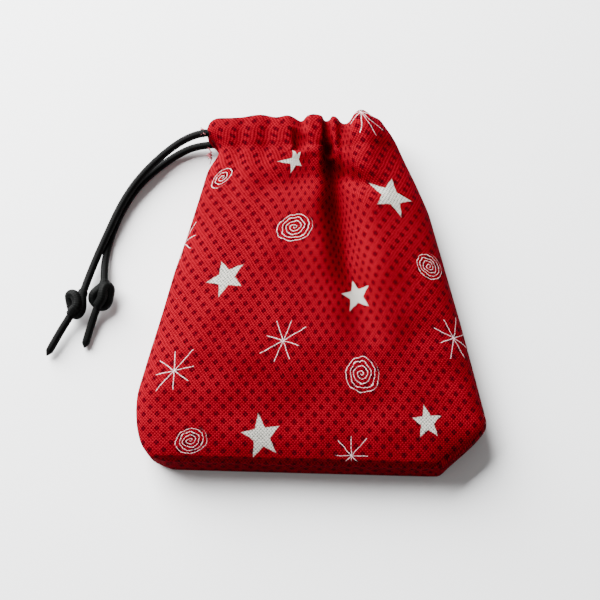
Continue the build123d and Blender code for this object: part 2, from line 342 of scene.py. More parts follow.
class Pouch:
    """The grid of a pouch, made from a box cut into rows and shaped by its cross-sections."""

    def __init__(self, across, rows, tall, inset, mouth_y):
        self.across, self.rows, self.tall = across, rows, tall
        self.inset, self.mouth_y = inset, mouth_y
        self.rings = [self.ring(row) for row in range(rows + 1)]

    def row_y(self, row):
        """Distance along the bag of one row."""
        base = BASE_Y + self.inset
        return base + (self.mouth_y - base) * row / self.rows

    def straight_print(self):
        """The print across the row where the base's corners begin, by x."""
        x, z = half_section(STRAIGHT_Y, True)
        even_x, even_z = cut_evenly(x, z, self.across + self.tall)
        return even_x, print_across(even_x, even_z, STRAIGHT_Y)

    def ring(self, row):
        """One row's front and back points, with the print's own coordinates."""
        y = self.row_y(row)
        halves = {}
        for front in (True, False):
            x, z = half_section(y, front)
            even_x, even_z = cut_evenly(x, z, self.across + self.tall)
            if front and y < STRAIGHT_Y:
                spread = np.interp(even_x, *self.straight_print())
            elif front:
                spread = print_across(even_x, even_z, y)
            else:
                spread = distance_along(even_x, even_z)
                spread = spread * (1 + 0.25 * (FLAT_WIDTH / spread[-1] - 1))
            halves[front] = (even_x, even_z, spread)
        return halves

    def index(self, i, k, front):
        """Where the box's corner i, k falls along the front or back half of a ring."""
        half = self.tall // 2
        height = k - half if front else half - k
        if i == 0 and height < half:
            return height
        if i == self.across and height < half:
            return 2 * half + self.across - height
        return half + i

    def inward(self, k, x, row):
        """The way into the bag from x on a ring, at level k, as x and z."""
        y = self.row_y(row)
        left, right = -along(LEFT_EDGE, y), along(RIGHT_EDGE, y)
        reach = 5.0
        near_left = min(1.0, max(0.0, (x - left) / reach))
        near_right = min(1.0, max(0.0, (right - x) / reach))
        sideways = (1 - near_left) - (1 - near_right)
        half = self.tall / 2
        upright = -max(-1.0, min(1.0, (k - half) / half)) * min(near_left, near_right)
        length = max(1e-6, sqrt(sideways**2 + upright**2))
        return sideways / length, upright / length

    def edge_shift(self, x, row):
        """How far a point is moved along the bag by the uneven mouth and the leaning base."""
        share = row / self.rows
        notch = sum(depth * exp(-(((x - at) / half) ** 2)) for at, half, depth in MOUTH_NOTCHES)
        puff = sum(depth * exp(-(((x - at) / half) ** 2)) for at, half, depth in MOUTH_PUFFS)
        near_mouth = max(0.0, (share - 0.9) / 0.1) ** 2
        lean = (1.2 - 0.027 * (x + 44.0)) * max(0.0, 1 - share * 3) ** 2
        return (puff - notch) * near_mouth + lean

    def foot_shift(self, x, row, share):
        """How far the back reaches out past the front at the base, from the wall's bottom up."""
        out, step = zip(*BASE_WALL)
        fade = min(1.0, max(0.0, (x + 43.0) / 6.0)) * max(0.0, 1 - row / self.rows * 9) ** 1.5
        return float(np.interp(share, out, step)) * fade * (1 - self.inset / 3)

    def place(self, i, j, k):
        """The place of one corner of the cut box, and its print coordinates by half."""
        prints = {}
        half = self.tall // 2
        points = {}
        for front in (True, False):
            xs, zs, spread = self.rings[j][front]
            where = self.index(i, max(k, half) if front else min(k, half), front)
            points[front] = (xs[where], zs[where])
            prints[front] = (spread[where], self.row_y(j) - BASE_Y)
        on_base = j == 0 and 0 < k < self.tall and 0 < i < self.across
        if on_base:
            xf, zf = self.rings[0][True][0][half + i], self.rings[0][True][1][half + i]
            xb, zb = self.rings[0][False][0][half + i], self.rings[0][False][1][half + i]
            share = k / self.tall
            x, z = xb + (xf - xb) * share, zb + (zf - zb) * share
            y = self.row_y(0)
            depth = min(share, 1 - share) * self.tall * 0.8
            prints = {front: (prints[front][0], -depth) for front in prints}
        else:
            x, z = points[k >= half]
            y = self.row_y(j)
        seam_tuck = 0.45 if k == half and i in (0, self.across) else 0.0
        dx, dz = self.inward(k, x, j)
        x += dx * (self.inset + seam_tuck)
        z += dz * self.inset
        y += self.edge_shift(x, j) + self.foot_shift(x, j, k / self.tall)
        return (x * MM, y * MM, z * MM), prints


# Heights between which the hem's inner layer leaves the mouth open. The cord lies outside them,
# between that layer and the outer cloth.
HEM_SLIT_TOP = 6.1
HEM_SLIT_LOW = 3.7


def cut_box(across, rows, tall):
    """A box whose edges are cut into even rows, open at its mouth end."""
    bm = bmesh.new()
    bmesh.ops.create_cube(bm, size=2.0)
    for axis, cuts in ((0, across), (1, rows), (2, tall)):
        edges = [
            edge
            for edge in bm.edges
            if abs(edge.verts[0].co[axis] - edge.verts[1].co[axis]) > 1.5
        ]
        bmesh.ops.subdivide_edges(bm, edges=edges, cuts=cuts - 1, use_grid_fill=True)
    mouth = [face for face in bm.faces if all(v.co.y > 1 - 1e-4 for v in face.verts)]
    bmesh.ops.delete(bm, geom=mouth, context="FACES")
    return bm


def pouch_mesh(pouch, turn_in=()):
    """Shapes a cut box as a pouch, turns its mouth in, and gives it its print coordinates.

    Each step of turn_in goes forward along the bag and into it, and has the slack past the
    slit's heights, or None where the cloth isn't held to them.
    """
    bm = cut_box(pouch.across, pouch.rows, pouch.tall)
    prints, corner = {}, {}
    for vert in bm.verts:
        i = round((vert.co.x + 1) / 2 * pouch.across)
        j = round((vert.co.y + 1) / 2 * pouch.rows)
        k = round((vert.co.z + 1) / 2 * pouch.tall)
        vert.co, prints[vert] = pouch.place(i, j, k)
        corner[vert] = (i, j, k)
    for forward, into, slack in turn_in:
        edges = [edge for edge in bm.edges if edge.is_boundary]
        grown = bmesh.ops.extrude_edge_only(bm, edges=edges)["geom"]
        fresh = [item for item in grown if isinstance(item, bmesh.types.BMVert)]
        before = set(corner)
        for vert in fresh:
            source = next(
                edge.other_vert(vert)
                for edge in vert.link_edges
                if edge.other_vert(vert) in before
            )
            k = corner[source][2]
            dx, dz = pouch.inward(k, vert.co.x / MM, pouch.rows)
            vert.co.x += dx * into * MM
            vert.co.z += dz * into * MM
            vert.co.y += forward * MM
            if slack is not None and k > pouch.tall / 2:
                vert.co.z = min(vert.co.z, (HEM_SLIT_TOP + slack) * MM)
            elif slack is not None:
                vert.co.z = max(vert.co.z, (HEM_SLIT_LOW - slack) * MM)
            corner[vert] = corner[source]
            step = sqrt(into**2 + forward**2)
            prints[vert] = {f: (p, q + step) for f, (p, q) in prints[source].items()}
    layer = bm.loops.layers.uv.new("print")
    for face in bm.faces:
        front = sum(corner[v][2] for v in face.verts) / len(face.verts) > pouch.tall / 2
        for loop in face.loops:
            across, length = prints[loop.vert][front]
            across += 0.0 if front else BACK_PRINT_STEP
            loop[layer].uv = (across / PRINT_UNIT, length / PRINT_UNIT)
    bmesh.ops.recalc_face_normals(bm, faces=bm.faces)
    half = pouch.tall // 2
    seams = [
        edge
        for edge in bm.edges
        if all(corner[v][2] == half for v in edge.verts)
        and (
            all(corner[v][0] in (0, pouch.across) for v in edge.verts)
            or all(corner[v][1] == 0 for v in edge.verts)
        )
    ]
    bmesh.ops.split_edges(bm, edges=seams)
    return bm


def object_from(bm, name, material, smooth=True):
    """A finished mesh object at the origin with one material."""
    mesh = bpy.data.meshes.new(name)
    bm.to_mesh(mesh)
    bm.free()
    for polygon in mesh.polygons:
        polygon.use_smooth = smooth
    mesh.materials.append(material)
    piece = bpy.data.objects.new(name, mesh)
    bpy.context.scene.collection.objects.link(piece)
    return piece


def add_subdivision(piece, levels=1):
    """Smooths a piece with the same levels on screen and in a render."""
    modifier = piece.modifiers.new("smooth", "SUBSURF")
    modifier.levels = levels
    modifier.render_levels = levels


# ---- materials


class Nodes:
    """Short ways to add and join shader nodes in one tree."""

    def __init__(self, tree):
        self.tree = tree

    def add(self, kind, **settings):
        node = self.tree.nodes.new(kind)
        for name, value in settings.items():
            setattr(node, name, value)
        return node

    def feed(self, socket, value):
        if isinstance(value, bpy.types.NodeSocket):
            self.tree.links.new(value, socket)
        elif value is not None:
            socket.default_value = value

    def math(self, operation, *values):
        node = self.add("ShaderNodeMath", operation=operation)
        for socket, value in zip(node.inputs, values):
            self.feed(socket, value)
        return node.outputs[0]

    def vector(self, operation, *values):
        node = self.add("ShaderNodeVectorMath", operation=operation)
        for socket, value in zip(node.inputs, values):
            self.feed(socket, value)
        return node.outputs[0]

    def scaled(self, value, factor):
        node = self.add("ShaderNodeVectorMath", operation="SCALE")
        self.feed(node.inputs[0], value)
        self.feed(node.inputs["Scale"], factor)
        return node.outputs[0]

    def noise(self, value, scale, detail=2.0, kind="2D"):
        node = self.add("ShaderNodeTexNoise", noise_dimensions=kind)
        node.inputs["Scale"].default_value = scale
        node.inputs["Detail"].default_value = detail
        self.feed(node.inputs["Vector"], value)
        return node.outputs

    def grey(self, value):
        node = self.add("ShaderNodeCombineXYZ")
        for socket in node.inputs:
            self.feed(socket, value)
        return node.outputs[0]

    def print_place(self):
        where = self.add("ShaderNodeUVMap", uv_map="print").outputs[0]
        return self.scaled(where, PRINT_UNIT)

    def mix(self, share, first, second, blend="MIX"):
        node = self.add("ShaderNodeMix", data_type="RGBA", blend_type=blend)
        self.feed(node.inputs[0], share)
        self.feed(node.inputs[6], first)
        self.feed(node.inputs[7], second)
        return node.outputs[2]

    def ramp(self, value, low, high, to_low=0.0, to_high=1.0):
        node = self.add("ShaderNodeMapRange", interpolation_type="SMOOTHSTEP")
        for socket, number in zip(node.inputs, (value, low, high, to_low, to_high)):
            self.feed(socket, number)
        return node.outputs[0]

    def split(self, value):
        node = self.add("ShaderNodeSeparateXYZ")
        self.feed(node.inputs[0], value)
        return node.outputs

    def group(self, tree, **values):
        node = self.add("ShaderNodeGroup", node_tree=tree)
        for name, value in values.items():
            self.feed(node.inputs[name.replace("_", " ")], value)
        return node.outputs

    def mapping(self, value, location, turn, size, kind="TEXTURE"):
        node = self.add("ShaderNodeMapping", vector_type=kind)
        self.feed(node.inputs["Vector"], value)
        node.inputs["Location"].default_value = (*location, 0.0)
        node.inputs["Rotation"].default_value = (0.0, 0.0, turn)
        node.inputs["Scale"].default_value = (*size, 1.0)
        return node.outputs[0]


def new_group(name, inputs, outputs):
    """An empty shader group with named inputs and outputs."""
    tree = bpy.data.node_groups.new(name, "ShaderNodeTree")
    for label, kind, default in inputs:
        socket = tree.interface.new_socket(label, in_out="INPUT", socket_type=kind)
        if default is not None:
            socket.default_value = default
    for label, kind in outputs:
        tree.interface.new_socket(label, in_out="OUTPUT", socket_type=kind)
    nodes = Nodes(tree)
    return nodes, nodes.add("NodeGroupInput").outputs, nodes.add("NodeGroupOutput").inputs


SURFACE_NAMES = {
    "roughness": "Roughness",
    "shine": "Specular IOR Level",
    "sheen": "Sheen Weight",
    "sheen_roughness": "Sheen Roughness",
    "sheen_tint": "Sheen Tint",
}


def new_material(name, **constants):
    """A material with constant surface values, its nodes and its surface."""
    material = bpy.data.materials.new(name)
    material.use_nodes = True
    surface = material.node_tree.nodes["Principled BSDF"]
    for label, value in constants.items():
        surface.inputs[SURFACE_NAMES[label]].default_value = value
    return material, Nodes(material.node_tree), surface


def raise_surface(n, surface, height, strength, depth):
    """Gives a surface the small relief of a height, whose depth is in metres."""
    bump = n.add("ShaderNodeBump")
    bump.inputs["Strength"].default_value = strength
    bump.inputs["Distance"].default_value = depth
    n.feed(bump.inputs["Height"], height)
    n.feed(surface.inputs["Normal"], bump.outputs[0])


FLOAT, VECTOR = "NodeSocketFloat", "NodeSocketVector"
THREAD_PITCH = 0.47  # of the printed cotton's weave
THREAD_DEPTH = 0.12 * MM


def plain_weave_group():
    """Plain weave: over and under threads, as a height and a light-and-dark value that paints light and
    shade on the threads, with the slubs' own tone.
    """
    n, given, out = new_group(
        "plain_weave",
        (("Vector", VECTOR, None), ("Pitch", FLOAT, THREAD_PITCH)),
        (("Height", FLOAT), ("Light", FLOAT)),
    )
    wobble = n.noise(given["Vector"], 0.35)["Color"]
    shift = n.scaled(n.vector("SUBTRACT", wobble, (0.5, 0.5, 0.5)), 0.35)
    moved = n.vector("ADD", given["Vector"], shift)
    x, y, _z = n.split(moved)
    turns = n.math("DIVIDE", pi, given["Pitch"])
    u = n.math("SINE", n.math("MULTIPLY", x, turns))
    v = n.math("SINE", n.math("MULTIPLY", y, turns))
    over = n.math("MULTIPLY_ADD", n.math("MULTIPLY", u, v), 0.5, 0.5)
    warp = n.math("MULTIPLY", n.math("ABSOLUTE", u), over)
    weft = n.math("MULTIPLY", n.math("ABSOLUTE", v), n.math("SUBTRACT", 1.0, over))
    height = n.math("ADD", warp, weft)
    crossing = n.math("MULTIPLY_ADD", over, 0.7, n.math("MULTIPLY", height, 0.3))
    slubs = n.noise(given["Vector"], 1.6, 3.0)["Fac"]
    light = n.math("ADD", crossing, n.math("MULTIPLY_ADD", slubs, 0.5, -0.25))
    n.feed(out["Height"], height)
    n.feed(out["Light"], light)
    return n.tree


def polar(n, value):
    """Distance and angle of a vector's x and y."""
    x, y, _z = n.split(value)
    distance = n.math("SQRT", n.math("ADD", n.math("MULTIPLY", x, x), n.math("MULTIPLY", y, y)))
    return distance, n.math("ARCTAN2", y, x)


def fold_angle(n, angle, parts):
    """An angle folded into one of several equal parts, from 0 at the part's middle."""
    part = 2 * pi / parts
    turned = n.math("FLOORED_MODULO", n.math("ADD", angle, part / 2), part)
    return n.math("SUBTRACT", turned, part / 2)


def star_group():
    """A five-pointed star of radius 1 with its first point along x."""
    n, given, out = new_group("star_print", (("Vector", VECTOR, None),), (("Mask", FLOAT),))
    distance, angle = polar(n, given["Vector"])
    folded = n.math("ABSOLUTE", fold_angle(n, angle, 5))
    x = n.math("MULTIPLY", distance, n.math("COSINE", folded))
    y = n.math("MULTIPLY", distance, n.math("SINE", folded))
    waist = 0.43
    wx, wy = waist * cos(pi / 5), waist * sin(pi / 5)
    length = sqrt((1 - wx) ** 2 + wy**2)
    along_x = n.math("MULTIPLY", n.math("SUBTRACT", x, 1.0), wy / length)
    across = n.math("MULTIPLY_ADD", y, (1 - wx) / length, along_x)
    n.feed(out["Mask"], n.ramp(across, 0.03, -0.03))
    return n.tree


def swirl_group():
    """A hand-drawn spiral line of radius 1."""
    n, given, out = new_group(
        "swirl_print", (("Vector", VECTOR, None), ("Turns", FLOAT, 4.6)), (("Mask", FLOAT),)
    )
    shake = n.math("MULTIPLY_ADD", n.noise(given["Vector"], 2.2)["Fac"], 0.22, -0.11)
    distance, angle = polar(n, given["Vector"])
    shaken = n.math("ADD", distance, shake)
    turned = n.math("DIVIDE", angle, 2 * pi)
    spiral = n.math("SUBTRACT", n.math("MULTIPLY", shaken, given["Turns"]), turned)
    line = n.math("ABSOLUTE", n.math("SUBTRACT", n.math("FRACT", spiral), 0.5))
    drawn = n.ramp(line, 0.10, 0.04)
    inside = n.ramp(shaken, 1.0, 0.95)
    n.feed(out["Mask"], n.math("MULTIPLY", drawn, inside))
    return n.tree


def burst_group():
    """Eight thin uneven rays of radius 1 from one point."""
    n, given, out = new_group("burst_print", (("Vector", VECTOR, None),), (("Mask", FLOAT),))
    distance, angle = polar(n, given["Vector"])
    folded = fold_angle(n, angle, 8)
    away = n.math("MULTIPLY", distance, n.math("ABSOLUTE", n.math("SINE", folded)))
    ray = n.ramp(away, 0.019, 0.005)
    number = n.math("ROUND", n.math("DIVIDE", n.math("SUBTRACT", angle, folded), pi / 4))
    scatter = n.math("SINE", n.math("MULTIPLY_ADD", number, 12.9, 4.1))
    uneven = n.math("FRACT", n.math("MULTIPLY", scatter, 43.7))
    reach = n.math("MULTIPLY_ADD", uneven, 0.35, 0.68)
    inside = n.ramp(n.math("SUBTRACT", distance, reach), 0.02, -0.02)
    n.feed(out["Mask"], n.math("MULTIPLY", ray, inside))
    return n.tree


def dots_group():
    """Small dark dots on a square lattice that stands on its corner."""
    n, given, out = new_group(
        "dots_print", (("Vector", VECTOR, None), ("Pitch", FLOAT, 2.75)), (("Mask", FLOAT),)
    )
    turned = n.mapping(given["Vector"], (0.0, 0.0), radians(45), (1.0, 1.0), "POINT")
    cell = n.vector("FRACTION", n.scaled(turned, n.math("DIVIDE", 1.0, given["Pitch"])))
    centred = n.vector("SUBTRACT", cell, (0.5, 0.5, 0.0))
    distance, angle = polar(n, centred)
    lobes = n.math("MULTIPLY", n.math("COSINE", n.math("MULTIPLY", angle, 4.0)), 0.02)
    n.feed(out["Mask"], n.ramp(n.math("ADD", distance, lobes), 0.31, 0.19))
    return n.tree


def shared_group(name, make):
    """A shader group that is built once and then shared."""
    return bpy.data.node_groups.get(name) or make()


# The printed motifs by where they show on the front: x, y, turn in degrees, width and height
# of half the motif, all in millimetres but the turn.
STARS = (
    (-4.3, 34.5, -95, 3.4, 6.6), (21.8, 23.9, 64, 5.9, 5.7), (-22.7, 0.5, 46, 5.2, 5.2),
    (11.8, -4.1, 100, 4.6, 7.2), (-13.0, -41.6, 100, 5.9, 5.4), (29.7, -37.4, 96, 4.3, 4.1),
)
SWIRLS = (
    (-24.6, 30.0, 50, 3.5, 2.4), (-4.7, 14.6, 0, 7.2, 4.3), (31.4, 4.5, 40, 4.2, 4.0),
    (12.8, -25.3, 0, 5.5, 5.2), (-31.4, -43.0, 20, 4.6, 3.6),
)
BURSTS = (
    (-7.5, -16.7, -14, 7.0, 6.8), (-35.9, -24.3, 12, 6.6, 6.4), (37.7, -15.2, 20, 6.4, 6.4),
    (13.5, 46.9, 10, 6.2, 6.2), (10.1, -46.0, 0, 6.0, 6.0), (-34.8, 12.4, 16, 6.0, 6.0),
    (46.8, -35.6, 30, 4.0, 4.0),
)


def printed_place(pouch, x, y):
    """Print coordinates of the front's point that lies at x, y."""
    row = min(range(pouch.rows + 1), key=lambda j: abs(pouch.row_y(j) - y))
    xs, _zs, spread = pouch.rings[row][True]
    return float(np.interp(x, xs, spread)), y - BASE_Y


def cotton_material(colours, pouch):
    """Red quilting cotton with dark dots and pale stars, swirls and starbursts."""
    material, n, surface = new_material(
        "woven_print", roughness=0.86, shine=0.01, sheen=0.012, sheen_roughness=0.5,
        sheen_tint=(1.0, 0.06, 0.10, 1.0),
    )
    cloth = n.print_place()
    shift = n.vector("SUBTRACT", n.noise(cloth, 0.5)["Color"], (0.5, 0.5, 0.5))
    drawn = n.vector("MULTIPLY_ADD", shift, (0.45, 0.45, 0.0), cloth)
    repeat = (FLAT_WIDTH + 12.0, FLAT_LENGTH + 6.0, 10.0)
    tile = n.vector("WRAP", drawn, repeat, (-8.0, -8.0, -10.0))
    weave = n.group(
        shared_group("plain_weave", plain_weave_group), Vector=cloth, Pitch=THREAD_PITCH
    )
    dots = n.group(shared_group("dots_print", dots_group), Vector=cloth)["Mask"]
    solid, lines = None, None
    for motifs, name, make in (
        (STARS, "star_print", star_group),
        (SWIRLS, "swirl_print", swirl_group),
        (BURSTS, "burst_print", burst_group),
    ):
        tree = shared_group(name, make)
        for x, y, turn, half_width, half_height in motifs:
            place = printed_place(pouch, x, y)
            own = n.mapping(tile, place, radians(turn), (half_width, half_height))
            turns = {"Turns": 4.6 if half_height > 3.0 else 3.2} if name == "swirl_print" else {}
            mask = n.group(tree, Vector=own, **turns)["Mask"]
            if name == "star_print":
                solid = mask if solid is None else n.math("MAXIMUM", solid, mask)
            else:
                lines = mask if lines is None else n.math("MAXIMUM", lines, mask)
    tone = n.ramp(n.noise(cloth, 0.06, 3.0)["Fac"], 0.3, 0.7)
    ground = n.mix(tone, (*colours.red, 1), (*colours.deep_red, 1))
    dotted = n.mix(n.math("MULTIPLY", dots, 0.84), ground, (*colours.dot, 1))
    # The stars get painted shade between their threads and are lighter on their crowns.
    star_light = n.ramp(weave["Light"], 0.15, 0.7)
    star_weave_shaded = n.mix(star_light, (*colours.star_shade, 1), (*colours.star, 1))
    starred = n.mix(solid, dotted, star_weave_shaded)
    on_face = n.ramp(n.split(cloth)[1], -0.4, 0.1)
    lines = n.math("MULTIPLY", lines, on_face)
    # The printed lines fade where the weave's light value is low, between the threads.
    line_weave_fade = n.ramp(weave["Light"], 0.15, 0.55, 0.35, 1.0)
    printed = n.mix(n.math("MULTIPLY", lines, line_weave_fade), starred, (*colours.line, 1))
    # Painted shade in the gaps between the threads and painted highlight on their crowns, from the weave's
    # light value.
    shade = n.ramp(weave["Light"], 0.10, 0.85, 0.34, 1.40)
    weave_shaded = n.mix(1.0, printed, n.grey(shade), "MULTIPLY")
    # Painted highlight where the threads' crowns catch the light.
    crown = n.ramp(weave["Light"], 0.55, 0.95, 0.0, 0.30)
    lit = n.mix(crown, weave_shaded, (*colours.thread_light, 1))
    n.feed(surface.inputs["Base Color"], lit)
    raise_surface(n, surface, weave["Height"], 0.55, THREAD_DEPTH)
    return material


def lining_material(colours):
    """Plain dark red cotton."""
    material, n, surface = new_material("plain_lining", roughness=0.9, sheen=0.1)
    weave = n.group(
        shared_group("plain_weave", plain_weave_group), Vector=n.print_place(), Pitch=0.52
    )
    # Painted shade between the lining's threads and painted highlight on their crowns.
    shade = n.ramp(weave["Light"], 0.1, 0.9, 0.5, 1.25)
    weave_shaded = n.mix(1.0, (*colours.lining, 1), n.grey(shade), "MULTIPLY")
    n.feed(surface.inputs["Base Color"], weave_shaded)
    raise_surface(n, surface, weave["Height"], 0.5, THREAD_DEPTH)
    return material


def cord_material(colours):
    """Black braided satin cord, with its braid following the cord and painted shade between its strands.
    """
    material, n, surface = new_material(
        "braided_cord", shine=0.03, sheen=0.01, sheen_roughness=0.35
    )
    where = n.add("ShaderNodeUVMap", uv_map="braid").outputs[0]
    x, y, _z = n.split(where)
    up = n.math("SINE", n.math("MULTIPLY", n.math("ADD", x, y), 2 * pi))
    down = n.math("SINE", n.math("MULTIPLY", n.math("SUBTRACT", x, y), 2 * pi))
    braid = n.math("MULTIPLY_ADD", n.math("MULTIPLY", up, down), 0.5, 0.5)
    height = n.math("MULTIPLY_ADD", n.noise(where, 6.0, 4.0)["Fac"], 0.5, braid)
    # Painted shade between the braid's strands, from the braid's height.
    tone = n.mix(n.ramp(height, 0.3, 1.2), (*colours.cord_strand_shade, 1), (*colours.cord, 1))
    n.feed(surface.inputs["Base Color"], tone)
    n.feed(surface.inputs["Roughness"], n.ramp(height, 0.2, 1.3, 0.62, 0.42))
    raise_surface(n, surface, height, 0.6, 0.1 * MM)
    return material


def thread_material(name, colour):
    """Sewing thread with a fine twist."""
    material, n, surface = new_material(name, roughness=0.7, shine=0.04)
    where = n.add("ShaderNodeTexCoord").outputs["Object"]
    twist = n.noise(where, 5200.0, kind="3D")["Fac"]
    dark = tuple(0.6 * channel for channel in colour)
    n.feed(surface.inputs["Base Color"], n.mix(twist, (*dark, 1), (*colour, 1)))
    return material


def floor_material(colours):
    """A plain pale sheet, very slightly uneven in tone."""
    material, n, surface = new_material("pale_floor", roughness=0.8, shine=0.2)
    where = n.add("ShaderNodeTexCoord").outputs["Object"]
    cloud = n.noise(where, 9.0, kind="3D")["Fac"]
    paler = tuple(min(1.0, channel * 1.02) for channel in colours.floor)
    n.feed(surface.inputs["Base Color"], n.mix(cloud, (*colours.floor, 1), (*paler, 1)))
    return material


# ---- cord


def route_points(side):
    """A free end's listed points in metres, from where it leaves the hem."""
    return [
        Vector((EXIT_X - sideways, CHANNEL_Y - back, lift)) * MM
        for sideways, back, lift in ROUTES[side]
    ]


def smooth_path(points, name, resolution=10):
    """Points along the smooth line that a set of control points makes."""
    curve = bpy.data.curves.new(name, "CURVE")
    curve.dimensions = "3D"
    curve.resolution_u = resolution
    spline = curve.splines.new("NURBS")
    spline.points.add(len(points) - 1)
    for control, point in zip(spline.points, points):
        control.co = (*point, 1.0)
    spline.order_u = 3
    spline.use_endpoint_u = True
    carrier = bpy.data.objects.new(name, curve)
    bpy.context.scene.collection.objects.link(carrier)
    mesh = bpy.data.meshes.new_from_object(carrier)
    path = [vert.co.copy() for vert in mesh.vertices]
    bpy.data.objects.remove(carrier)
    bpy.data.curves.remove(curve)
    bpy.data.meshes.remove(mesh)
    return path


def path_length(path):
    """Length of a line of points."""
    return sum((b - a).length for a, b in zip(path, path[1:]))


SUDDEN = 1e-9  # the length over which an end that isn't tapered closes
BRAID_TURNS, BRAID_PITCH = 4.0, 1.1 * MM


def tube_mesh(path, radius, around=20, taper=SUDDEN):
    """A closed tube along a path, tapered at its last end, with braid coordinates along it."""
    bm = bmesh.new()
    layer = bm.loops.layers.uv.new("braid")
    total = path_length(path)
    direction = (path[1] - path[0]).normalized()
    side = direction.orthogonal().normalized()
    ring = bmesh.ops.create_circle(bm, segments=around, radius=1.0)["verts"]
    base = {vert: atan2(vert.co.y, vert.co.x) / (2 * pi) for vert in ring}
    travelled, rows, order = 0.0, {}, list(ring)
    for step, point in enumerate(path):
        after = path[min(step + 1, len(path) - 1)]
        before = path[max(step - 1, 0)]
        heading = (after - before).normalized()
        side = (side - heading * side.dot(heading)).normalized()
        other = heading.cross(side)
        if step:
            travelled += (point - path[step - 1]).length
            edges = [bm.edges.get((a, b)) for a, b in zip(order, order[1:] + order[:1])]
            grown = bmesh.ops.extrude_edge_only(bm, edges=edges)["geom"]
            fresh = [item for item in grown if isinstance(item, bmesh.types.BMVert)]
            match = {}
            for vert in fresh:
                sources = (edge.other_vert(vert) for edge in vert.link_edges)
                match[next(source for source in sources if source in rows)] = vert
            for source, vert in match.items():
                base[vert] = base[source]
            order = [match[source] for source in order]
        from_end = min(travelled / SUDDEN, (total - travelled) / taper, 1.0)
        width = radius * sqrt(max(0.03, 1 - (1 - from_end) ** 2))
        for vert in order:
            angle = base[vert] * 2 * pi
            vert.co = point + (side * cos(angle) + other * sin(angle)) * width
            rows[vert] = travelled
    for edge_loop in ([v for v in bm.verts if rows[v] == 0.0], order):
        edges = [e for e in bm.edges if e.is_boundary and all(v in edge_loop for v in e.verts)]
        bmesh.ops.contextual_create(bm, geom=edges)
    for face in bm.faces:
        around_first = base[face.loops[0].vert]
        for loop in face.loops:
            turn = base[loop.vert]
            if turn - around_first > 0.5:
                turn -= 1.0
            elif around_first - turn > 0.5:
                turn += 1.0
            loop[layer].uv = (turn * BRAID_TURNS, rows[loop.vert] / BRAID_PITCH)
    bmesh.ops.recalc_face_normals(bm, faces=bm.faces)
    return bm


# Overhand knots drawn tight, as points sideways to the right, towards the mouth and up from
# the knot's middle, in millimetres.
KNOTS = {
    "front": (
        (2.0, 4.6, 0.0), (1.4, 3.0, 0.4), (1.7, 0.4, 0.6), (1.4, -2.2, 0.2), (-0.3, -3.2, -0.5),
        (-1.3, -1.4, -0.8), (-2.0, 1.4, -0.3), (-2.2, 3.2, 0.6), (-0.5, 3.0, 1.5), (0.5, 1.2, 1.6),
        (0.5, -0.9, 1.6), (-0.5, -1.7, 1.1), (-1.2, -2.6, 0.5), (-1.7, -3.3, 0.2),
    ),
    "back": (
        (1.05, 5.2, 0.0), (1.0, 3.4, 0.5), (-0.7, 1.7, 1.2), (-2.4, 0.1, 0.9), (-2.0, -1.7, 0.0),
        (0.4, -3.1, -0.8), (2.0, -2.0, -0.5), (2.5, 0.6, -0.1), (2.9, 2.6, 0.5), (1.4, 3.1, 1.4),
        (0.8, 1.1, 1.8), (0.7, -0.9, 1.5), (-0.3, -2.2, 0.8), (-1.1, -3.2, 0.2),
    ),
}


KNOT_TIGHTNESS = 0.9  # how far the knots' turns are drawn towards their middles
KNOT_STRAND = 0.7  # radius of a knot's strand, in diameters of the cord
CORD_FULLNESS = 0.53  # radius of the free ends, in diameters of the cord
CORD_TIP = {"front": 2.2, "back": 0.8}  # the length over which each end tapers


def knot_mesh(side):
    """An overhand knot pulled tight round the cord."""
    points = route_points(side)
    middle = (points[KNOT_AFTER] + points[KNOT_AFTER + 1]) / 2
    path = [middle + Vector(step) * KNOT_TIGHTNESS * MM for step in KNOTS[side]]
    return tube_mesh(smooth_path(path, "knot_path", 8), CORD_MM * KNOT_STRAND * MM)


# ---- threads


def stitch_row_mesh(points, thickness, length, pitch):
    """Separate small stitches along a line of points, in metres."""
    bm = bmesh.new()
    total = path_length(points)
    count = max(1, int(total // pitch))
    spare = (total - count * pitch) / 2

    def at(distance):
        left = distance
        for a, b in zip(points, points[1:]):
            step = (b - a).length
            if left <= step:
                return a + (b - a) * (left / max(step, 1e-9)), (b - a).normalized()
            left -= step
        return points[-1], (points[-1] - points[-2]).normalized()

    for number in range(count):
        middle, heading = at(spare + (number + 0.5) * pitch)
        turn = heading.to_track_quat("Z", "Y").to_matrix().to_4x4()
        shape = Matrix.Translation(middle) @ turn
        stitch = bmesh.ops.create_icosphere(bm, subdivisions=1, radius=0.5, matrix=shape)["verts"]
        for vert in stitch:
            local = shape.inverted() @ vert.co
            local.x *= thickness
            local.y *= thickness
            local.z *= length
            vert.co = shape @ local
    return bm


# ---- settings


class DicebagSizes(bpy.types.PropertyGroup):
    """Sizes of the cloth, the hem and the stitches"""

    columns: bpy.props.IntProperty(
        name="Columns", description="Columns of the cloth's grid", default=88, min=20, max=140
    )
    rows: bpy.props.IntProperty(
        name="Rows", description="Rows of the cloth's grid", default=92, min=20, max=140
    )
    lining_gap: bpy.props.FloatProperty(
        name="Lining gap",
        description="Distance of the lining inside the outer cloth",
        default=0.0011,
        unit="LENGTH",
    )
    hem_thickness: bpy.props.FloatProperty(
        name="Hem thickness",
        description="Thickness of the turned hem with the cord in it",
        default=0.0043,
        unit="LENGTH",
    )
    stitch_length: bpy.props.FloatProperty(
        name="Stitch length", description="Length of one stitch", default=0.0021, unit="LENGTH"
    )
    stitch_pitch: bpy.props.FloatProperty(
        name="Stitch pitch", description="From stitch to stitch", default=0.0029, unit="LENGTH"
    )
    thread: bpy.props.FloatProperty(
        name="Thread", description="Thickness of the thread", default=0.00032, unit="LENGTH"
    )


def colour_property(label, words, default):
    """A colour setting."""
    return bpy.props.FloatVectorProperty(
        name=label, description=words, subtype="COLOR", size=3, min=0.0, max=1.0, default=default
    )


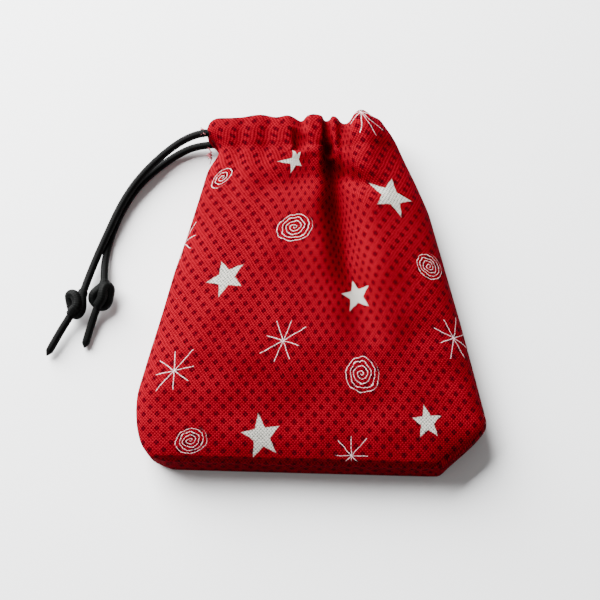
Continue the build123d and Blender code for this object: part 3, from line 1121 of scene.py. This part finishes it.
class DicebagColours(bpy.types.PropertyGroup):
    """Colours of the cloth, its print, the cord and the floor"""

    red: colour_property("Red", "Ground of the printed cotton", (0.120, 0.0003, 0.0042))
    deep_red: colour_property("Deep red", "Darker cast of the ground", (0.100, 0.0002, 0.0034))
    dot: colour_property("Dots", "Printed dots", (0.017, 0.0002, 0.0010))
    star: colour_property("Stars", "Printed stars", (0.36, 0.36, 0.32))
    # Star shade is painted shade between the stars' threads.
    star_shade: colour_property("Star shade", "Between the stars' threads", (0.17, 0.18, 0.16))
    line: colour_property("Lines", "Printed swirls and starbursts", (0.62, 0.46, 0.46))
    # Thread crown is a painted highlight on the threads' crowns.
    thread_light: colour_property("Thread crown", "Where threads catch the light", (0.20, 0.004, 0.014))
    lining: colour_property("Lining", "Lining cotton", (0.09, 0.001, 0.003))
    cord: colour_property("Cord", "Black cord", (0.0035, 0.0038, 0.0036))
    # Cord shade is painted shade between the cord's strands.
    cord_strand_shade: colour_property("Cord shade", "Between the cord's strands", (0.0010, 0.0010, 0.0010))
    thread: colour_property("Thread", "Sewing thread", (0.12, 0.001, 0.004))
    fray: colour_property("Fray", "Frayed cut threads", (0.40, 0.12, 0.14))
    floor: colour_property("Floor", "Pale floor", (0.85, 0.855, 0.86))


# ---- operators


def settings():
    """The scene's sizes and colours."""
    return bpy.context.scene.dicebag_sizes, bpy.context.scene.dicebag_colours


def outer_pouch(sizes):
    """The outer pouch's cross-sections."""
    return Pouch(sizes.columns, sizes.rows, 12, 0.0, MOUTH_Y - 0.3)


def lining_pouch(sizes):
    """The lining's cross-sections."""
    return Pouch(56, 60, 8, sizes.lining_gap / MM, HEM_Y + 1.5)


def blend_front(piece):
    """Bakes a cloth piece's place into its mesh, leaving it at the origin."""
    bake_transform(piece)


class DICEBAG_OT_outer(bpy.types.Operator):
    """Make the outer pouch with its turned hem"""

    bl_idname = "dicebag.outer"
    bl_label = "Outer pouch"

    def execute(self, context):
        sizes, colours = settings()
        pouch = outer_pouch(sizes)
        rim = ((0.55, 0.35, None), (0.3, 0.55, None), (-0.15, 0.6, None), (-0.6, 0.55, None))
        rest = sizes.hem_thickness / MM - sum(into for _forward, into, _slack in rim)
        inner = ((-1.4, rest, 0.0), (-1.8, 0.0, 0.0), (-2.4, 0.0, 0.0), (-3.4, 0.0, 1.0))
        bm = pouch_mesh(pouch, rim + inner)
        cotton = cotton_material(colours, pouch)
        piece = object_from(bm, "outer_cloth", cotton)
        add_subdivision(piece)
        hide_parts("outer_front", "outer_back", "casing_front", "casing_back", "casing_turn")
        blend_front(piece)
        return {"FINISHED"}


class DICEBAG_OT_lining(bpy.types.Operator):
    """Make the lining pouch"""

    bl_idname = "dicebag.lining"
    bl_label = "Lining"

    def execute(self, context):
        sizes, colours = settings()
        bm = pouch_mesh(lining_pouch(sizes), ((1.2, 1.2, None),))
        bmesh.ops.reverse_faces(bm, faces=bm.faces)
        piece = object_from(bm, "lining_cloth", lining_material(colours))
        add_subdivision(piece)
        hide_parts("lining_front", "lining_back")
        blend_front(piece)
        return {"FINISHED"}


class DICEBAG_OT_cord(bpy.types.Operator):
    """Make the cord's free ends, knots and hidden runs"""

    bl_idname = "dicebag.cord"
    bl_label = "Cord"

    def execute(self, context):
        _sizes, colours = settings()
        black = cord_material(colours)
        for side in ("front", "back"):
            path = smooth_path(route_points(side), f"{side}_route")
            tube = tube_mesh(path, CORD_MM * CORD_FULLNESS * MM, taper=CORD_TIP[side] * MM)
            cord = object_from(tube, f"cord_{side}_end", black)
            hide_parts(f"drawcord_{side}")
            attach(cord, CORD_BODY[side])
            knot = object_from(knot_mesh(side), f"overhand_knot_{side}", black)
            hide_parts(f"knot_{side}")
            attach(knot, CORD_BODY[side])
        for name, (body, route) in HIDDEN_ROUTES.items():
            points = [Vector((x, CHANNEL_Y + y, z)) * MM for x, y, z in route]
            tube = tube_mesh(smooth_path(points, name), CORD_MM / 2 * MM)
            piece = object_from(tube, f"hidden_{name}", black)
            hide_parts(f"drawcord_{name}")
            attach(piece, body)
        return {"FINISHED"}


class DICEBAG_OT_threads(bpy.types.Operator):
    """Make the rows of stitches"""

    bl_idname = "dicebag.threads"
    bl_label = "Threads"

    def execute(self, context):
        sizes, colours = settings()
        red = thread_material("sewing_thread", tuple(colours.thread))
        pouch = outer_pouch(sizes)
        for cloth, shape in (("outer", pouch), ("lining", lining_pouch(sizes))):
            half = shape.tall // 2
            for side, i in (("left", 0), ("right", shape.across)):
                line = [Vector(shape.place(i, j, half)[0]) for j in range(2, shape.rows)]
                name, node = f"{cloth}_side_stitches_{side}", f"{cloth}_side_thread_{side}"
                self.row(sizes, red, name, line, node)
            line = [Vector(shape.place(i, 0, half)[0]) for i in range(2, shape.across - 1)]
            self.row(sizes, red, f"{cloth}_bottom_stitches", line, f"{cloth}_bottom_thread")
        row = min(range(pouch.rows + 1), key=lambda j: abs(pouch.row_y(j) - HEM_STITCH_Y))
        for side, k in (("front", pouch.tall), ("back", 0)):
            line = [Vector(pouch.place(i, row, k)[0]) for i in range(2, pouch.across - 1)]
            piece = self.row(
                sizes, red, f"hem_stitches_{side}", line, f"casing_thread_{side}", blended=False
            )
            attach(piece, FRONT if side == "front" else BACK)
        return {"FINISHED"}

    def row(self, sizes, material, name, line, node, blended=True):
        """One row of stitches that stands for one node of thread."""
        bm = stitch_row_mesh(line, sizes.thread, sizes.stitch_length, sizes.stitch_pitch)
        piece = object_from(bm, name, material)
        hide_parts(node)
        if blended:
            blend_front(piece)
        return piece


class DICEBAG_OT_fray(bpy.types.Operator):
    """Make the frayed thread ends where the cord leaves the hem"""

    bl_idname = "dicebag.fray"
    bl_label = "Frayed threads"

    def execute(self, context):
        _sizes, colours = settings()
        pink = thread_material("frayed_thread", tuple(colours.fray))
        chance = np.random.RandomState(7)
        edges = (("front", (-29.7, 44.4, 8.6), FRONT), ("back", (-28.2, 39.4, 4.4), BACK))
        strands = 22
        for side, edge, body in edges:
            whole = bmesh.new()
            for _strand in range(strands):
                start = Vector((
                    edge[0] + chance.uniform(-0.2, 0.3),
                    edge[1] + chance.uniform(-1.0, 1.0),
                    edge[2] + chance.uniform(-1.0, 1.0),
                )) * MM
                reach = chance.uniform(0.4, 1.5)
                bend = chance.uniform(-0.8, 0.8, size=3)
                middle = start + Vector((-0.6 * reach, bend[0], bend[1])) * MM
                end = start + Vector((-reach, bend[0] * 1.4 + bend[2], bend[1] * 1.2)) * MM
                path = smooth_path([start, middle, end], "fray_path", 4)
                strand = tube_mesh(path, 0.13 * MM, around=5)
                mesh = bpy.data.meshes.new("strand")
                strand.to_mesh(mesh)
                strand.free()
                whole.from_mesh(mesh)
                bpy.data.meshes.remove(mesh)
            piece = object_from(whole, f"frayed_threads_{side}", pink)
            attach(piece, body)
        return {"FINISHED"}


class DICEBAG_OT_stage(bpy.types.Operator):
    """Make the floor, the light and the camera"""

    bl_idname = "dicebag.stage"
    bl_label = "Stage"

    def execute(self, context):
        _sizes, colours = settings()
        bm = bmesh.new()
        bmesh.ops.create_grid(bm, x_segments=1, y_segments=1, size=1.6)
        floor = object_from(bm, "floor", floor_material(colours), smooth=False)
        world = bpy.data.worlds.new("studio")
        context.scene.world = world
        world.use_nodes = True
        background = world.node_tree.nodes["Background"]
        background.inputs["Color"].default_value = (1.0, 0.99, 0.98, 1)
        background.inputs["Strength"].default_value = 0.28
        self.lamp(context, "window", (-0.38, 0.44, 0.38), 0.60, 46.0)
        self.camera(context)
        return {"FINISHED"}

    def lamp(self, context, name, place, size, power):
        """A square soft light that faces the bag."""
        light = bpy.data.lights.new(name, "AREA")
        light.energy = power
        light.size = size
        lamp = bpy.data.objects.new(name, light)
        lamp.location = place
        lamp.rotation_euler = (-Vector(place)).to_track_quat("-Z", "Y").to_euler()
        context.scene.collection.objects.link(lamp)

    def camera(self, context):
        """The camera high above the bag, leaning a little towards its base."""
        elevation, distance, view_width = radians(75), 0.30, 0.1646
        target = Vector((-3.1, -2.7, 3.0)) * MM
        lens = bpy.data.cameras.new("camera")
        lens.sensor_width = 36.0
        lens.lens = 36.0 * distance / view_width
        lens.clip_start = 0.01
        camera = bpy.data.objects.new("camera", lens)
        away = Vector((0.0, -cos(elevation), sin(elevation)))
        camera.location = target + away * distance
        camera.rotation_euler = (-away).to_track_quat("-Z", "Y").to_euler()
        context.scene.collection.objects.link(camera)
        context.scene.camera = camera


class DICEBAG_PT_panel(bpy.types.Panel):
    """Lists the bag's settings and pieces"""

    bl_label = "Dice Bag"
    bl_idname = "DICEBAG_PT_panel"
    bl_space_type = "VIEW_3D"
    bl_region_type = "UI"
    bl_category = "Dice Bag"

    def draw(self, context):
        for group in (context.scene.dicebag_sizes, context.scene.dicebag_colours):
            for name in group.__annotations__:
                self.layout.prop(group, name)
        for operator in OPERATORS:
            self.layout.operator(operator.bl_idname)


OPERATORS = (
    DICEBAG_OT_stage,
    DICEBAG_OT_cord,
    DICEBAG_OT_outer,
    DICEBAG_OT_lining,
    DICEBAG_OT_threads,
    DICEBAG_OT_fray,
)
CLASSES = (DicebagSizes, DicebagColours, *OPERATORS, DICEBAG_PT_panel)


def register():
    """Adds the classes and their settings to Blender."""
    for cls in CLASSES:
        bpy.utils.register_class(cls)
    bpy.types.Scene.dicebag_sizes = bpy.props.PointerProperty(type=DicebagSizes)
    bpy.types.Scene.dicebag_colours = bpy.props.PointerProperty(type=DicebagColours)


def unregister():
    """Takes the classes and their settings out of Blender."""
    del bpy.types.Scene.dicebag_colours
    del bpy.types.Scene.dicebag_sizes
    for cls in reversed(CLASSES):
        bpy.utils.unregister_class(cls)


def main():
    """Makes every piece."""
    register()
    bpy.ops.dicebag.stage()
    bpy.ops.dicebag.cord()
    bpy.ops.dicebag.outer()
    bpy.ops.dicebag.lining()
    bpy.ops.dicebag.threads()
    bpy.ops.dicebag.fray()


if __name__ == "__main__":
    main()
